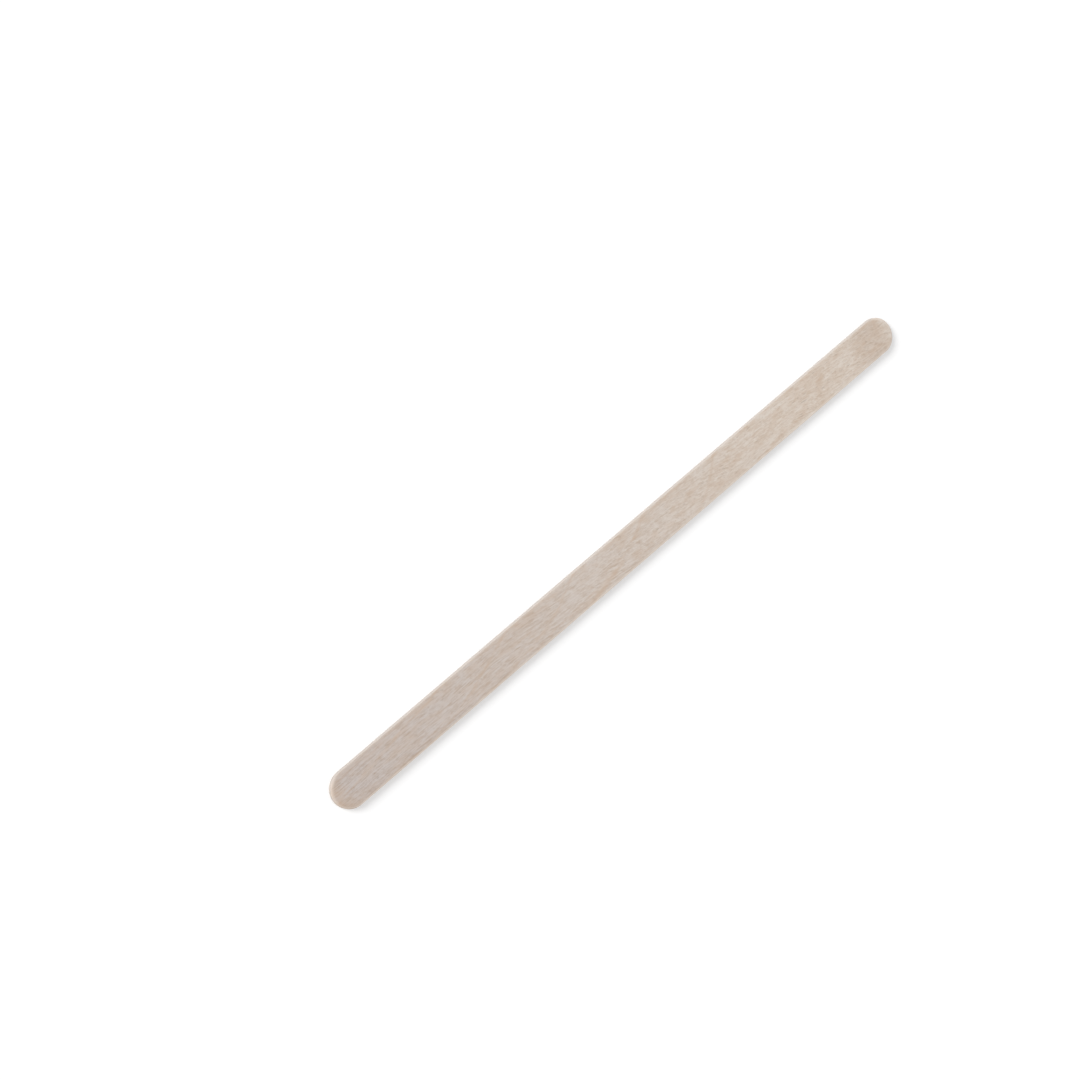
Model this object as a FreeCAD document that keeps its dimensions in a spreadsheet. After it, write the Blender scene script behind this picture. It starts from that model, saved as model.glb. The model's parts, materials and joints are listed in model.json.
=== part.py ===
"""Waxing spatula: one flat wooden stick with two round ends and softened arrises.

Millimetres. The stick lies on the XY plane with its length along X and its thickness along Z.
The origin is the middle of the underside.
"""
import FreeCAD, Part
import Sketcher
import math
import os

NODE = "waxing_spatula"

# The sizes that can be changed, each with what it means on the stick.
SIZES = [
    ("length", 190.0, "from tip to tip"),
    ("width", 9.5, "from long edge to long edge, and the diameter of both round ends"),
    ("thickness", 1.6, "from the underside to the upper face, one layer of veneer"),
    ("arris_radius", 0.2, "rounding that tumbling leaves all round both faces"),
    ("edge_land", 0.3, "least height of upright edge between the two roundings"),
]


def make_sheet(doc):
    """The spreadsheet that holds the sizes, one to a row: name, value, meaning."""
    sheet = doc.addObject("Spreadsheet::Sheet", "sizes")
    for row, (name, value, meaning) in enumerate(SIZES, 1):
        sheet.set(f"A{row}", name)
        sheet.set(f"B{row}", str(value))
        sheet.set(f"C{row}", meaning)
        sheet.setAlias(f"B{row}", name)
    doc.recompute()
    return sheet


def origin_plane(body, role):
    """One of the body's own origin planes, found by its role."""
    for feature in body.Origin.OriginFeatures:
        if feature.Role == role:
            return feature
    raise ValueError(f"no origin plane {role}")


def draw_outline(body, sheet):
    """The outline of the blank as the cutter leaves it: two straight edges and two half circles.

    The half circles meet the straight edges in tangents, and their centres lie on the X axis,
    one on each side of the origin.
    """
    sketch = body.newObject("Sketcher::SketchObject", "outline")
    sketch.AttachmentSupport = [(origin_plane(body, "XY_Plane"), "")]
    sketch.MapMode = "FlatFace"

    end_radius = sheet.width / 2
    reach = sheet.length / 2 - end_radius
    up = FreeCAD.Vector(0, 0, 1)
    right_centre = FreeCAD.Vector(reach, 0, 0)
    left_centre = FreeCAD.Vector(-reach, 0, 0)
    quarter = math.pi / 2

    right_end = sketch.addGeometry(
        Part.ArcOfCircle(Part.Circle(right_centre, up, end_radius), -quarter, quarter))
    far_edge = sketch.addGeometry(
        Part.LineSegment(FreeCAD.Vector(reach, end_radius, 0), FreeCAD.Vector(-reach, end_radius, 0)))
    left_end = sketch.addGeometry(
        Part.ArcOfCircle(Part.Circle(left_centre, up, end_radius), quarter, 3 * quarter))
    near_edge = sketch.addGeometry(
        Part.LineSegment(FreeCAD.Vector(-reach, -end_radius, 0), FreeCAD.Vector(reach, -end_radius, 0)))

    start, end, centre = 1, 2, 3
    axis, root_point = -1, 1
    constraints = [
        Sketcher.Constraint("Tangent", right_end, end, far_edge, start),
        Sketcher.Constraint("Tangent", far_edge, end, left_end, start),
        Sketcher.Constraint("Tangent", left_end, end, near_edge, start),
        Sketcher.Constraint("Tangent", near_edge, end, right_end, start),
        Sketcher.Constraint("Symmetric", left_end, centre, right_end, centre, axis, root_point),
        Sketcher.Constraint("PointOnObject", right_end, centre, axis),
        Sketcher.Constraint("Equal", left_end, right_end),
    ]
    sketch.addConstraint(constraints)
    radius_at = sketch.addConstraint(Sketcher.Constraint("Radius", right_end, end_radius))
    sketch.renameConstraint(radius_at, "end_radius")
    sketch.setExpression("Constraints.end_radius", "sizes.width / 2")
    span_at = sketch.addConstraint(
        Sketcher.Constraint("DistanceX", left_end, centre, right_end, centre, 2 * reach))
    sketch.renameConstraint(span_at, "centre_span")
    sketch.setExpression("Constraints.centre_span", "sizes.length - sizes.width")
    return sketch


def pad_blank(body, sketch):
    """The flat blank, one veneer thick, standing on its underside."""
    blank = body.newObject("PartDesign::Pad", "blank")
    blank.Profile = sketch
    blank.setExpression("Length", "sizes.thickness")
    sketch.Visibility = False
    return blank


def soften_arrises(doc, body, blank):
    """The rounding that runs round the upper and the lower face, along the long edges and both ends.

    It stops short of the middle of the edge, so that a land stays between the two roundings.
    """
    doc.recompute()
    level = 1e-6
    outlines = [
        f"Edge{number}"
        for number, edge in enumerate(blank.Shape.Edges, 1)
        if edge.BoundBox.ZLength < level
    ]
    softened = body.newObject("PartDesign::Fillet", "softened_arrises")
    softened.Base = (blank, outlines)
    softened.setExpression(
        "Radius", "min(sizes.arris_radius; (sizes.thickness - sizes.edge_land) / 2)")
    return softened


def make_spatula(doc, sheet):
    """The stick as one solid."""
    body = doc.addObject("PartDesign::Body", NODE)
    body.Label = NODE
    outline = draw_outline(body, sheet)
    blank = pad_blank(body, outline)
    body.Tip = soften_arrises(doc, body, blank)
    body.Placement = FreeCAD.Placement()
    return body


def check_document(doc, body):
    """Stops where an object of the document has failed or the solid isn't sound."""
    for item in doc.Objects:
        if "Invalid" in item.State or "Error" in item.State:
            raise RuntimeError(f"{item.Label} has failed: {item.State}")
    shape = body.Shape
    if shape.isNull() or not shape.isValid() or len(shape.Solids) != 1:
        raise RuntimeError(f"{body.Label} isn't one sound solid")


def main():
    doc = FreeCAD.newDocument("waxing_spatula_part")
    sheet = make_sheet(doc)
    body = make_spatula(doc, sheet)
    doc.recompute()
    check_document(doc, body)

    os.makedirs("parts", exist_ok=True)
    body.Shape.exportStep(os.path.join("parts", f"{body.Label}.step"))
    box = body.Shape.optimalBoundingBox(False, False)
    print(f"{body.Label}: {box.XLength:.3f} x {box.YLength:.3f} x {box.ZLength:.3f} mm, "
          f"{body.Shape.Volume:.1f} cubic mm")


main()
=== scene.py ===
import json
import math

import bpy
from mathutils import Matrix, Vector

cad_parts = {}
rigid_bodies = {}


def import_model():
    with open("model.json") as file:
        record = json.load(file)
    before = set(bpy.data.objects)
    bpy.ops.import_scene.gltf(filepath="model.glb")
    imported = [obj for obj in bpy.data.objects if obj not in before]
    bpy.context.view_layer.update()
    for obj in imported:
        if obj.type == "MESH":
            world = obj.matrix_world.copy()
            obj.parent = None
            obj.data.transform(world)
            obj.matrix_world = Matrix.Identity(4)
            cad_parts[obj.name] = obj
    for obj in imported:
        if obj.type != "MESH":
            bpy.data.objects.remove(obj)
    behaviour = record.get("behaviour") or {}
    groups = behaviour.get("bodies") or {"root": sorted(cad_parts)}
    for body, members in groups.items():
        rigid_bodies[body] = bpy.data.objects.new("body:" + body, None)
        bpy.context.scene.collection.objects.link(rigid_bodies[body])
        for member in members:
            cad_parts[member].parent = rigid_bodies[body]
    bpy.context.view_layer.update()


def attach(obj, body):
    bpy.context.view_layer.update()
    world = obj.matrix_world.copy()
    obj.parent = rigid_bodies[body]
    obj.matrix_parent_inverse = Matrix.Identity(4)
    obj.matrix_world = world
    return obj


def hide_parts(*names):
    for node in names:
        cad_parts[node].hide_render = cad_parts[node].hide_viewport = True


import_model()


# Camera
# It looks down on the stick at the photograph's angle: from the side of one long edge and rather
# nearer to one end. The stick lies flat here and tilted in the photograph, so the camera is rolled.
camera_place = Vector((-0.19255, 0.15637, 0.47634))
camera_aim = Vector((-0.01754, 0.01639, 0.00160))
camera_roll = math.radians(91.43)
focal_length = 73.33
sensor_width = 36.0

camera_data = bpy.data.cameras.new("camera")
camera_data.lens = focal_length
camera_data.sensor_width = sensor_width
camera_data.clip_start = 0.01
camera_data.clip_end = 20.0
camera = bpy.data.objects.new("camera", camera_data)
bpy.context.scene.collection.objects.link(camera)
level_view = (camera_aim - camera_place).to_track_quat("-Z", "Y").to_matrix().to_4x4()
rolled_view = level_view @ Matrix.Rotation(camera_roll, 4, "Z")
camera.matrix_world = Matrix.Translation(camera_place) @ rolled_view
bpy.context.scene.camera = camera


# Waxing spatula
# A flat stick stamped out of one layer of pale birch veneer, then tumbled, which rounds the
# arrises and leaves the wood smooth and bare, with no oil or varnish on it.
length = 0.190
width = 0.0095
thickness = 0.0016
half_width = width / 2
end_centre = length / 2 - half_width
arris_radius = 0.00012
tiny = 1e-7

# How finely the mesh is cut. The faces are cut finer near the outline, where the spots that are
# pressed in need it, and the long run between the round ends is cut in two goes.
arris_steps = 5
wall_cuts = 3
face_cuts = 4
inner_cuts = 2
outer_cuts = 5
outer_zone = 0.0009
run_cuts = (23, 24)
end_cell = 0.0003
end_steps = 60


def deselect_all():
    """Leaves nothing selected, so that an operator acts only on the new piece."""
    for thing in bpy.context.view_layer.objects:
        thing.select_set(False)


def select_edges(mesh, test):
    """In edit mode, selects the edges whose two ends pass the test."""
    bpy.ops.mesh.select_all(action="DESELECT")
    bpy.ops.object.mode_set(mode="OBJECT")
    for edge in mesh.edges:
        first, last = (mesh.vertices[index].co for index in edge.vertices)
        edge.select = test(first, last)
    bpy.ops.object.mode_set(mode="EDIT")


def lies_at(axis, value):
    """A test for edges that lie at a value of the axis."""
    return lambda first, last: abs(first[axis] - value) < tiny and abs(last[axis] - value) < tiny


# Half of the section through the round end's centre is an upright rectangle, from the middle of
# the stick to its long edge. Its two outer corners are rounded off and its sides cut into cells.
deselect_all()
bpy.ops.mesh.primitive_plane_add(
    size=1, location=(-end_centre, half_width / 2, thickness / 2), rotation=(0, math.pi / 2, 0))
spatula = bpy.context.object
spatula.name = "spatula"
spatula.scale = (thickness, half_width, 1)
bpy.ops.object.transform_apply(location=True, rotation=True, scale=True)
mesh = spatula.data
mesh.name = "spatula"

bpy.ops.object.mode_set(mode="EDIT")
bpy.ops.mesh.select_mode(type="EDGE")
select_edges(mesh, lies_at(1, half_width))
bpy.ops.mesh.bevel(offset=arris_radius, segments=arris_steps, affect="VERTICES")
select_edges(mesh, lies_at(1, half_width))
bpy.ops.mesh.subdivide(number_cuts=wall_cuts)
outer_start = half_width - outer_zone
for level in (0.0, thickness):
    at_level = lies_at(2, level)
    select_edges(mesh, at_level)
    bpy.ops.mesh.subdivide(number_cuts=face_cuts)
    select_edges(
        mesh, lambda first, last: at_level(first, last) and max(first.y, last.y) < outer_start)
    bpy.ops.mesh.subdivide(number_cuts=inner_cuts)
    select_edges(
        mesh, lambda first, last: at_level(first, last) and max(first.y, last.y) > outer_start)
    bpy.ops.mesh.subdivide(number_cuts=outer_cuts)
bpy.ops.mesh.select_all(action="SELECT")
bpy.ops.mesh.delete(type="ONLY_FACE")
select_edges(mesh, lies_at(1, 0.0))
bpy.ops.mesh.delete(type="EDGE")

# One round end is spun from that half section. The whole section that this leaves is drawn out
# along the stick and cut into cells, and half of its far edge is spun into the other round end.
bpy.ops.mesh.select_all(action="SELECT")
bpy.ops.mesh.spin(steps=end_steps, angle=-math.pi, center=(-end_centre, 0, 0), axis=(0, 0, 1))
bpy.ops.mesh.select_all(action="SELECT")
bpy.ops.mesh.remove_doubles(threshold=tiny)
select_edges(mesh, lies_at(0, -end_centre))
bpy.ops.mesh.extrude_region_move(TRANSFORM_OT_translate={"value": (2 * end_centre, 0, 0)})
for cuts in run_cuts:
    select_edges(
        mesh, lambda first, last: abs(first.x - last.x) > 2 * end_cell and first.y == last.y)
    bpy.ops.mesh.subdivide(number_cuts=cuts)
far_section = end_centre - 5 * tiny
select_edges(
    mesh, lambda first, last: min(first.x, last.x) > far_section and max(first.y, last.y) < tiny)
bpy.ops.mesh.spin(steps=end_steps, angle=-math.pi, center=(end_centre, 0, 0), axis=(0, 0, 1))
bpy.ops.mesh.select_all(action="SELECT")
bpy.ops.mesh.remove_doubles(threshold=10 * tiny)
bpy.ops.mesh.normals_make_consistent(inside=False)
bpy.ops.object.mode_set(mode="OBJECT")

# The cutter and the tumbling leave the outline a little wavy and the faces a little uneven. Three
# groups of vertices share this out: the rim, the arrises, and the faces away from the rim.
rim_reach = 0.0012
arris_height = 1.01 * arris_radius
arris_depth = 1.5 * arris_radius


def edge_depth(place):
    """How far a place lies inside the stick's outline, seen from above."""
    return half_width - math.hypot(max(abs(place.x) - end_centre, 0.0), place.y)


rim = spatula.vertex_groups.new(name="rim")
arris = spatula.vertex_groups.new(name="arris")
faces = spatula.vertex_groups.new(name="faces")
for vertex in mesh.vertices:
    depth = edge_depth(vertex.co)
    rim_weight = 1 - min(max(depth / rim_reach, 0.0), 1.0)
    rim.add([vertex.index], rim_weight, "REPLACE")
    faces.add([vertex.index], 1 - rim_weight, "REPLACE")
    off_land = min(vertex.co.z, thickness - vertex.co.z) < arris_height
    if off_land and depth < arris_depth:
        arris.add([vertex.index], 1.0, "REPLACE")


def apply_modifier(piece, modifier):
    """Turns a modifier's result into the piece's own mesh."""
    bpy.context.view_layer.objects.active = piece
    bpy.ops.object.modifier_apply(modifier=modifier.name)


def press_in(piece, group, depth, spot, detail):
    """Presses the vertices of a group in by up to the depth, in soft spots of the given size."""
    spot_frame = bpy.data.objects.new(group + " spots", None)
    spot_frame.scale = spot
    bpy.context.scene.collection.objects.link(spot_frame)
    spots = bpy.data.textures.new(group + " spots", type="CLOUDS")
    spots.noise_scale = 1.0
    spots.noise_depth = detail
    spots.contrast = 1.6
    spots.use_clamp = True
    bpy.context.view_layer.update()
    press = piece.modifiers.new(group, type="DISPLACE")
    press.texture = spots
    press.texture_coords = "OBJECT"
    press.texture_coords_object = spot_frame
    press.vertex_group = group
    press.mid_level = 1.0
    press.strength = depth
    apply_modifier(piece, press)
    bpy.data.objects.remove(spot_frame)


# Tumbling wears the round ends more than the long edges, so both faces dip towards the tips, in
# a curve that steepens to the outline and stops just short of upright.
tip_reach = 0.0008
tip_dip = 0.0003
dip_fullness = 0.98
for face_name, sink, is_on in (
        ("upper tips", -tip_dip, lambda place: place.z > thickness - arris_height),
        ("lower tips", tip_dip, lambda place: place.z < arris_height)):
    tips = spatula.vertex_groups.new(name=face_name)
    for vertex in mesh.vertices:
        depth = edge_depth(vertex.co)
        past = (abs(vertex.co.x) - end_centre) / half_width
        if is_on(vertex.co) and past > 0 and depth < tip_reach:
            rise = 1 - max(depth, 0.0) / tip_reach
            drop = 1 - math.sqrt(1 - rise ** 2 * dip_fullness)
            tips.add([vertex.index], past * drop, "REPLACE")
    dip = spatula.modifiers.new(face_name, type="DISPLACE")
    dip.direction = "Z"
    dip.vertex_group = face_name
    dip.mid_level = 0.0
    dip.strength = sink
    apply_modifier(spatula, dip)

# The walls and arrises are pressed in here and there, and the faces in long shallow hollows.
press_in(spatula, "rim", depth=0.00004, spot=(0.009, 0.02, 0.02), detail=1)
press_in(spatula, "arris", depth=0.00002, spot=(0.0011, 0.0011, 0.0005), detail=2)
press_in(spatula, "faces", depth=0.00002, spot=(0.014, 0.0018, 0.02), detail=1)
deselect_all()
spatula.select_set(True)
bpy.context.view_layer.objects.active = spatula
bpy.ops.object.shade_smooth_by_angle(angle=math.radians(50))


# Bare birch: pale, a little grey, with fine fibres, short dark pores along the grain and a few
# faint tan lines where the cutter crossed the growth rings. The arrises are worn paler, and painted
# paler still as a highlight where the lamp leaves them dark.
class Wire:
    """An output in a node tree. Sums and products of wires add their own Math nodes."""

    def __init__(self, tree, socket=None):
        self.tree = tree
        self.socket = socket

    def node(self, kind, settings=None, inputs=None, output=0):
        """Adds a node with its settings and the values or wires of its inputs, and gives an output."""
        made = self.tree.nodes.new(kind)
        for name, value in (settings or {}).items():
            setattr(made, name, value)
        for name, value in (inputs or {}).items():
            if isinstance(value, Wire):
                self.tree.links.new(value.socket, made.inputs[name])
            else:
                made.inputs[name].default_value = value
        return Wire(self.tree, made.outputs[output] if made.outputs else None)

    def other(self, output):
        """Another output of the same node."""
        return Wire(self.tree, self.socket.node.outputs[output])

    def calculate(self, operation, *values):
        """A Math node of the operation, on the values in their order."""
        return self.node("ShaderNodeMath", {"operation": operation}, dict(enumerate(values)))

    def larger(self, value):
        return self.calculate("MAXIMUM", self, value)

    def smaller(self, value):
        return self.calculate("MINIMUM", self, value)

    def __add__(self, value):
        return self.calculate("ADD", self, value)

    __radd__ = __add__

    def __sub__(self, value):
        return self.calculate("SUBTRACT", self, value)

    def __rsub__(self, value):
        return self.calculate("SUBTRACT", value, self)

    def __mul__(self, value):
        return self.calculate("MULTIPLY", self, value)

    __rmul__ = __mul__

    def __truediv__(self, value):
        return self.calculate("DIVIDE", self, value)

    def __pow__(self, value):
        return self.calculate("POWER", self, value)

    def __abs__(self):
        return self.calculate("ABSOLUTE", self)


def fade(value, start, end):
    """Goes softly from 0 to 1 as the value goes from start to end."""
    return value.node("ShaderNodeMapRange", {"interpolation_type": "SMOOTHSTEP"}, {
        "Value": value, "From Min": start, "From Max": end, "To Min": 0.0, "To Max": 1.0})


def stretched(place, per_millimetre, turn=0.0):
    """The place turned about the upright axis and then scaled, as the pattern's own coordinates."""
    turned = place.node("ShaderNodeMapping", {}, {"Vector": place, "Rotation": (0, 0, turn)})
    return turned.node("ShaderNodeVectorMath", {"operation": "MULTIPLY"}, {
        0: turned, 1: per_millimetre})


def noise(place, per_millimetre, detail=2.0, roughness=0.5, turn=0.0):
    """Soft noise about 0, from -0.5 to 0.5."""
    pattern = place.node("ShaderNodeTexNoise", {}, {
        "Vector": stretched(place, per_millimetre, turn), "Scale": 1.0,
        "Detail": detail, "Roughness": roughness})
    return pattern - 0.5


def tint(colour, other, amount):
    """The colour mixed with another by an amount, from 0 to 1."""
    return amount.node("ShaderNodeMix", {"data_type": "RGBA", "clamp_factor": True}, {
        0: amount, 6: colour, 7: other}, 2)


birch = bpy.data.materials.new("birch veneer")
birch.use_nodes = True
birch.node_tree.nodes.clear()
start = Wire(birch.node_tree)
millimetres = 1000.0
place = start.node("ShaderNodeTexCoord", output="Object")
place = place.node("ShaderNodeVectorMath", {"operation": "SCALE"}, {0: place, "Scale": millimetres})
along = place.node("ShaderNodeSeparateXYZ", {}, {0: place})
across = along.other(1)
upward = along.other(2)

# How far inside the outline, in millimetres as all that follows.
past_centre = (abs(along) - millimetres * end_centre).larger(0.0)
inside = millimetres * half_width - (past_centre * past_centre + across * across) ** 0.5

# What changes from the near end of the stick to the far one.
far_share = fade(along, -85.0, 50.0)
near_tip = 1 - fade(along, -94.2, -89.6)


def along_stick(near_amount, far_amount):
    """An amount that goes from one at the near end to another at the far end."""
    return near_amount + far_share * (far_amount - near_amount)


# Growth rings: each crosses the middle line at a place, lies at one slope before it and another
# after it, and shows as a soft tan line of a width and a strength.
ring_lines = [
    (-94.5, 0.17, 0.15, 0.7, 0.8),
    (-51.5, 0.22, 0.42, 0.8, 0.75),
    (-27.0, 0.12, 0.55, 0.7, 0.7),
    (-2.0, 0.2, 0.6, 1.0, 0.9),
    (27.0, 0.4, 1.1, 0.9, 0.7),
    (67.5, 1.5, 1.3, 2.2, 0.9),
    (90.5, 6.0, 6.0, 1.0, 0.5),
]
turning_run = 6.0
wander = noise(place, (0.11, 0.35, 0.2), 3.0, 0.55)
wandered = across + wander * 1.8 + upward * 0.4
rings = 0.0
for crossing, slope_before, slope_after, ring_width, ring_strength in ring_lines:
    run = along - crossing
    mean_slope = (slope_before + slope_after) / 2
    half_change = (slope_after - slope_before) / 2
    bend = ((run * run + turning_run ** 2) ** 0.5 - turning_run) * half_change
    off = (wandered - (run * mean_slope + bend)) / math.hypot(1.0, mean_slope)
    rising = fade(off, -0.9 * ring_width, -0.2 * ring_width)
    falling = 1 - fade(off, 0.0, 0.6 * ring_width)
    rings = rings + rising * falling * ring_strength
patchy = fade(noise(place, (0.16, 0.7, 0.7)), -0.26, 0.08)
rings = rings * patchy

# Fibres and mottling. The grain runs level at the near end of the stick, starts to lean about a
# quarter of the way along, and wanders on the way, more towards the far end.
lean_start = -45.0
grain_slope = 0.10
grain_lean = (along - lean_start).larger(0.0) * grain_slope
flow = noise(place, (0.04, 0.15, 0.1), 1.0)
grain = place.node("ShaderNodeCombineXYZ", {}, {
    "X": along, "Y": across + grain_lean + flow * along_stick(1.2, 4.0), "Z": upward})
streaks = noise(grain, (0.06, 1.2, 1.2))
fibres = noise(grain, (0.13, 3.0, 3.0), 2.0, 0.55)
threads = noise(grain, (0.6, 6.0, 6.0), 3.0, 0.6)
fuzz = noise(grain, (2.4, 4.0, 4.0), 2.0, 0.6)
fine_lines = noise(grain, (0.28, 3.8, 3.8), 1.0)
short_fibres = noise(grain, (0.55, 2.6, 2.6), 2.0, 0.6)
mottle = noise(place, (0.45, 1.0, 1.0), 3.0, 0.6, turn=math.radians(38))
clouds = noise(place, (0.05, 0.22, 0.3))
warm_spots = noise(place, (0.22, 0.9, 0.9), 3.0, 0.6)


def pits(per_millimetre, dark, chosen):
    """Small pits along the grain. Dark says where each fades out, and chosen which cells have one."""
    cells = grain.node("ShaderNodeTexVoronoi", {"feature": "F1"}, {
        "Vector": stretched(grain, per_millimetre), "Scale": 1.0, "Randomness": 1.0}, "Distance")
    choice = cells.node("ShaderNodeSeparateColor", {}, {0: cells.other("Color")})
    return (1 - fade(cells, *dark)) * fade(choice, *chosen)


pores = pits((0.42, 4.2, 4.2), dark=(0.06, 0.34), chosen=(0.68, 0.95)) * along_stick(0.35, 1.0)
fine_pores = pits((0.9, 5.5, 5.5), dark=(0.1, 0.42), chosen=(0.4, 1.0))

# The plainest pores of the upper face, each with its place, half its length, its lean and strength.
plain_pores = [
    (-90.0, -0.7, 0.65, 0.0, 0.5),
    (-83.6, -2.3, 0.5, 0.1, 0.8),
    (-82.5, 0.3, 0.5, 0.0, 0.6),
    (-77.0, 2.2, 0.7, -0.1, 0.6),
    (-72.0, 2.9, 0.75, 0.0, 0.5),
    (-61.7, 3.9, 0.35, -0.1, 0.8),
    (-58.8, 3.7, 0.35, -0.1, 0.8),
    (-55.7, 0.4, 0.4, -0.2, 0.7),
    (-49.5, -0.5, 0.2, 0.0, 0.9),
    (61.2, 1.3, 0.4, -0.2, 0.8),
    (62.2, -0.4, 1.4, -0.12, 1.0),
    (63.4, 1.0, 0.6, -0.1, 0.8),
    (67.4, 0.2, 0.5, -0.1, 0.7),
    (77.0, 3.5, 0.45, -0.5, 1.0),
    (70.8, 0.9, 0.3, -0.2, 0.7),
    (86.5, 0.8, 0.4, -0.1, 0.9),
]
pore_half_width = 0.2
marks = 0.0
for pore_along, pore_across, half_length, pore_lean, pore_strength in plain_pores:
    run = along - pore_along
    off = (across - pore_across - run * pore_lean) / pore_half_width
    mark = 1 - fade(run * run / half_length ** 2 + off * off, 0.0, 1.3)
    marks = marks + mark * pore_strength
marks = marks * fade(upward, 0.8, 1.2)

# Colours, as they look in plain light.
grey_birch = (0.548, 0.477, 0.438, 1)
warm_birch = (0.680, 0.591, 0.512, 1)
far_birch = (0.530, 0.420, 0.340, 1)
tan_ring = (0.575, 0.430, 0.320, 1)
pore_brown = (0.330, 0.255, 0.200, 1)
worn_and_highlit_birch = (0.790, 0.705, 0.630, 1)
cut_wall = (0.530, 0.483, 0.443, 1)
shaded_wall = (0.565, 0.468, 0.402, 1)

# The wood goes from grey to warm over part of its length, and is darker shortly before the far tip.
grey_until = -90.0
warm_from = 55.0
colour = tint(grey_birch, warm_birch, (along - grey_until) / (warm_from - grey_until))
far_patch = fade(along, 79.0, 87.0) * (1 - fade(along, 90.5, 93.5) * 0.8)
colour = tint(colour, far_birch, far_patch * 0.5)

# Its tone is about 1 in plain places. Each pattern changes it by an amount at the near end of the
# stick and by another at the far end, and blue follows the tone more than red does. The two edge
# bands are painted light and painted shade: the face is lighter by the edge that the lamp lights
# and darker by the other edge.
lit_edge = fade(across, 2.5, 4.5)
shaded_edge = fade(across, -2.5, -4.2)
tone_shares = [
    (streaks, 0.32, 0.16),
    (fuzz, 0.34, 0.34),
    (fibres, 0.54, 0.22),
    (short_fibres, 0.0, 0.42),
    (fine_lines, 0.60, 0.14),
    (threads, 0.60, 0.60),
    (mottle, 0.46, 0.34),
    (lit_edge, 0.10, 0.03),
    (shaded_edge, -0.08, -0.01),
]
highest_tone = 1.10
red_share = 0.68
blue_share = 1.32
tone = 1.012 - near_tip * 0.04
for pattern, near_amount, far_amount in tone_shares:
    tone = tone + pattern * along_stick(near_amount, far_amount)
tone = tone.smaller(highest_tone)
shade = tone.node("ShaderNodeCombineXYZ", {}, {
    "X": 1 + (tone - 1) * red_share, "Y": tone, "Z": 1 + (tone - 1) * blue_share})
colour = colour.node("ShaderNodeVectorMath", {"operation": "MULTIPLY"}, {0: colour, 1: shade})

warmth = 0.10 + warm_spots * along_stick(1.1, 1.7) + clouds * 0.5 + rings * 0.38
# By the edge that the lamp lights, the face is also painted warmer, as painted light.
warmth = warmth + near_tip * 0.36 + lit_edge * along_stick(0.16, 0.04)
colour = tint(colour, tan_ring, warmth)
wall = 1 - fade(inside, 0.04, 0.10)
on_face = 1 - wall * 0.8
colour = tint(colour, pore_brown, (pores * 0.6 + fine_pores * 0.36 + marks * 0.36) * on_face)

# The arrises are paler, partly worn and partly a painted highlight. By the edge that the lamp
# lights this is a fine worn line. By the other edge and round the tips it is a wider band, which is
# a painted highlight as well as wear, because the lamp leaves the arris there unlit.
other_edge = 1 - fade(across, -3.0, 2.0)
at_tip = fade(abs(along), 90.0, 93.5)
more_wear_and_highlight = other_edge.larger(at_tip)
wear_and_highlight_reach = 0.26 + more_wear_and_highlight * 0.3 + at_tip * (1 - other_edge * 0.8) * 0.45
wear_and_highlight = 1 - fade(inside + threads * 0.4, wear_and_highlight_reach * 0.4, wear_and_highlight_reach)
colour = tint(colour, worn_and_highlit_birch, wear_and_highlight * (0.22 + more_wear_and_highlight * 0.50 - near_tip * 0.44))

# The cut wall shows the fibres side on, as fine level lines, and the upright marks of the cutter.
level_lines = noise(place, (0.3, 0.8, 8.0), 3.0, 0.6)
cutter_marks = noise(place, (5.0, 5.0, 0.5))
wall_tone = 1 + level_lines * 0.34 + cutter_marks * 0.16 - near_tip * 0.10
# The wall by the edge away from the lamp is painted a warmer brown, as painted shade; the wall that
# the lamp lights keeps the plain cut colour.
wall_colour = tint(cut_wall, shaded_wall, other_edge)
wall_colour = wall_colour.node("ShaderNodeVectorMath", {"operation": "SCALE"}, {
    0: wall_colour, "Scale": wall_tone})
colour = tint(colour, wall_colour, wall * (0.88 - near_tip * 0.25))

# The fibres stand up a little and the pores are sunk, by hundredths of a millimetre.
rough = 0.78 + fibres * 0.2 - wear_and_highlight * 0.05
relief = fibres * 0.020 + threads * 0.020 + mottle * 0.012
relief = relief - pores * 0.03 - fine_pores * 0.012 - marks * 0.02
wall_relief = level_lines * 0.035 + cutter_marks * 0.02
height = relief * on_face + wall_relief * wall
bump = height.node("ShaderNodeBump", {}, {
    "Height": height, "Strength": 1.0, "Distance": 1 / millimetres})
shader = start.node("ShaderNodeBsdfPrincipled", {}, {
    "Base Color": colour, "Roughness": rough, "Normal": bump, "IOR": 1.45,
    "Specular IOR Level": 0.35})
start.node("ShaderNodeOutputMaterial", {}, {"Surface": shader})
mesh.materials.append(birch)

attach(spatula, "root")
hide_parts("waxing_spatula")


# Floor
# A plain pale table top, with nothing on it but the stick's own shadow. It lies a hair under
# the stick, and glows faintly where it is seen, so that it looks white.
floor_radius = 4.0
floor_sides = 96
floor_gap = 0.00001
floor_white = (0.86, 0.86, 0.86, 1)
floor_glow = 0.24
plain_white = (1, 1, 1, 1)


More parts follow.
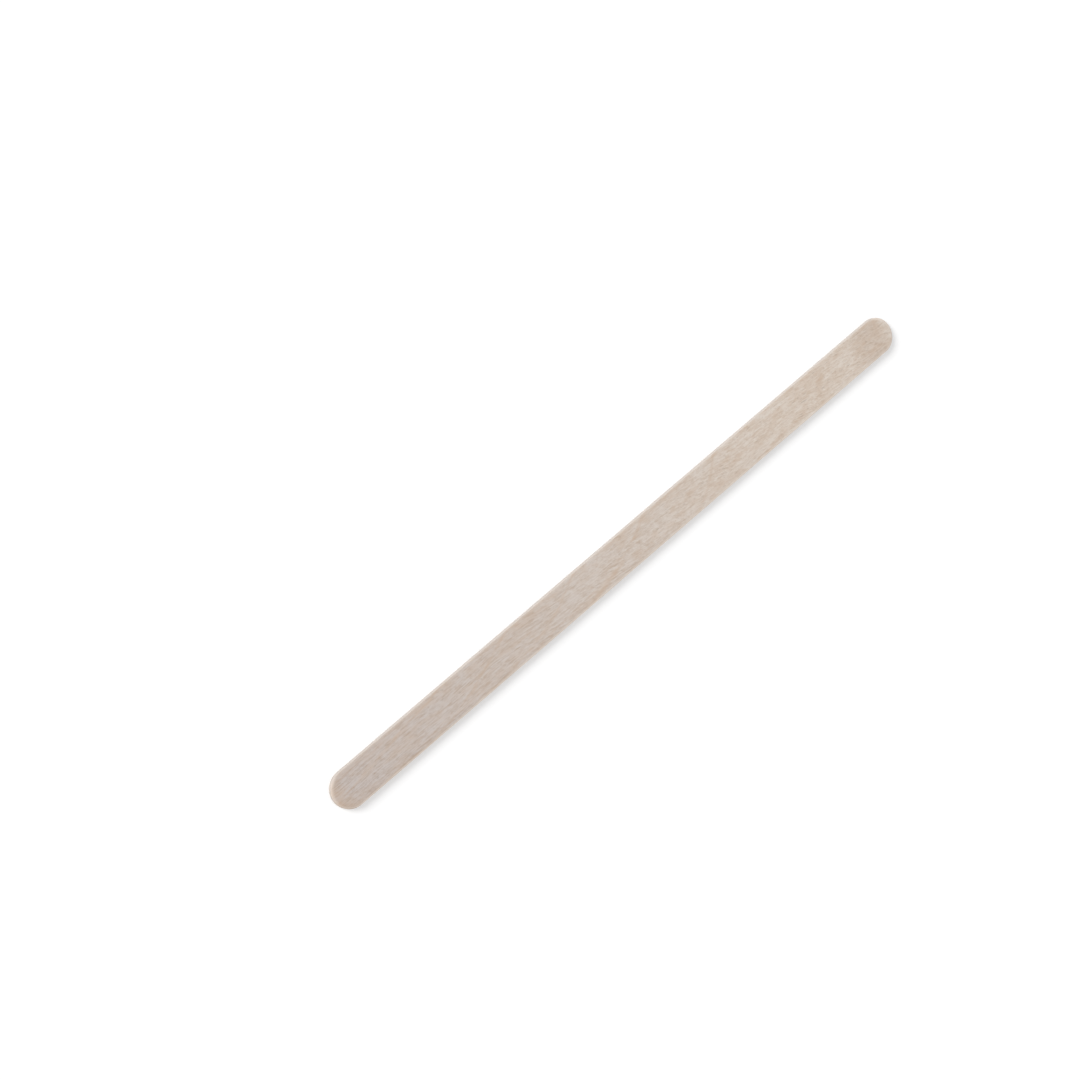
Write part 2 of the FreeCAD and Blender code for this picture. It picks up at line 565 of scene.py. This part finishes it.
def where_seen(start):
    """1 for what is seen, by the camera or by way of gloss or glass, and 0 for what only lights."""
    ray = start.node("ShaderNodeLightPath", output="Is Camera Ray")
    return ray.larger(ray.other("Is Glossy Ray").larger(ray.other("Is Transmission Ray")))


deselect_all()
bpy.ops.mesh.primitive_circle_add(
    vertices=floor_sides, radius=floor_radius, fill_type="NGON", location=(0, 0, -floor_gap))
floor = bpy.context.object
floor.name = "floor"
bpy.ops.object.transform_apply(location=True, rotation=True, scale=True)
floor_finish = bpy.data.materials.new("plain white")
floor_finish.use_nodes = True
floor_finish.node_tree.nodes.clear()
start = Wire(floor_finish.node_tree)
matt = start.node("ShaderNodeBsdfDiffuse", {}, {"Color": floor_white})
glow = start.node("ShaderNodeEmission", {}, {
    "Color": plain_white, "Strength": where_seen(start) * floor_glow})
both = start.node("ShaderNodeAddShader", {}, {0: matt, 1: glow})
start.node("ShaderNodeOutputMaterial", {}, {"Surface": both})
floor.data.materials.append(floor_finish)


# Light
# A broad soft lamp low on the side of the long edge that the camera sees, a weak one opposite,
# and even light from all round, which together light the upper face at a plain level.
room_light = 0.50


def soft_sun(name, azimuth, elevation, strength, spread):
    """A soft lamp that shines from an azimuth, counted from the X axis, and an elevation."""
    sun_data = bpy.data.lights.new(name, type="SUN")
    sun_data.energy = strength
    sun_data.angle = math.radians(spread)
    sun = bpy.data.objects.new(name, sun_data)
    bpy.context.scene.collection.objects.link(sun)
    turn = math.radians(azimuth)
    rise = math.radians(elevation)
    level = math.cos(rise)
    towards = Vector((level * math.cos(turn), level * math.sin(turn), math.sin(rise)))
    sun.rotation_euler = towards.to_track_quat("Z", "Y").to_euler()


soft_sun("side lamp", azimuth=122, elevation=27, strength=2.6, spread=35)
soft_sun("fill lamp", azimuth=-60, elevation=45, strength=0.35, spread=60)
world = bpy.data.worlds.new("studio")
bpy.context.scene.world = world
world.use_nodes = True
world.node_tree.nodes.clear()
start = Wire(world.node_tree)
surround = start.node("ShaderNodeBackground", {}, {
    "Color": plain_white, "Strength": room_light + where_seen(start) * (1 - room_light)})
start.node("ShaderNodeOutputWorld", {}, {"Surface": surround})
bpy.context.scene.view_settings.view_transform = "Standard"
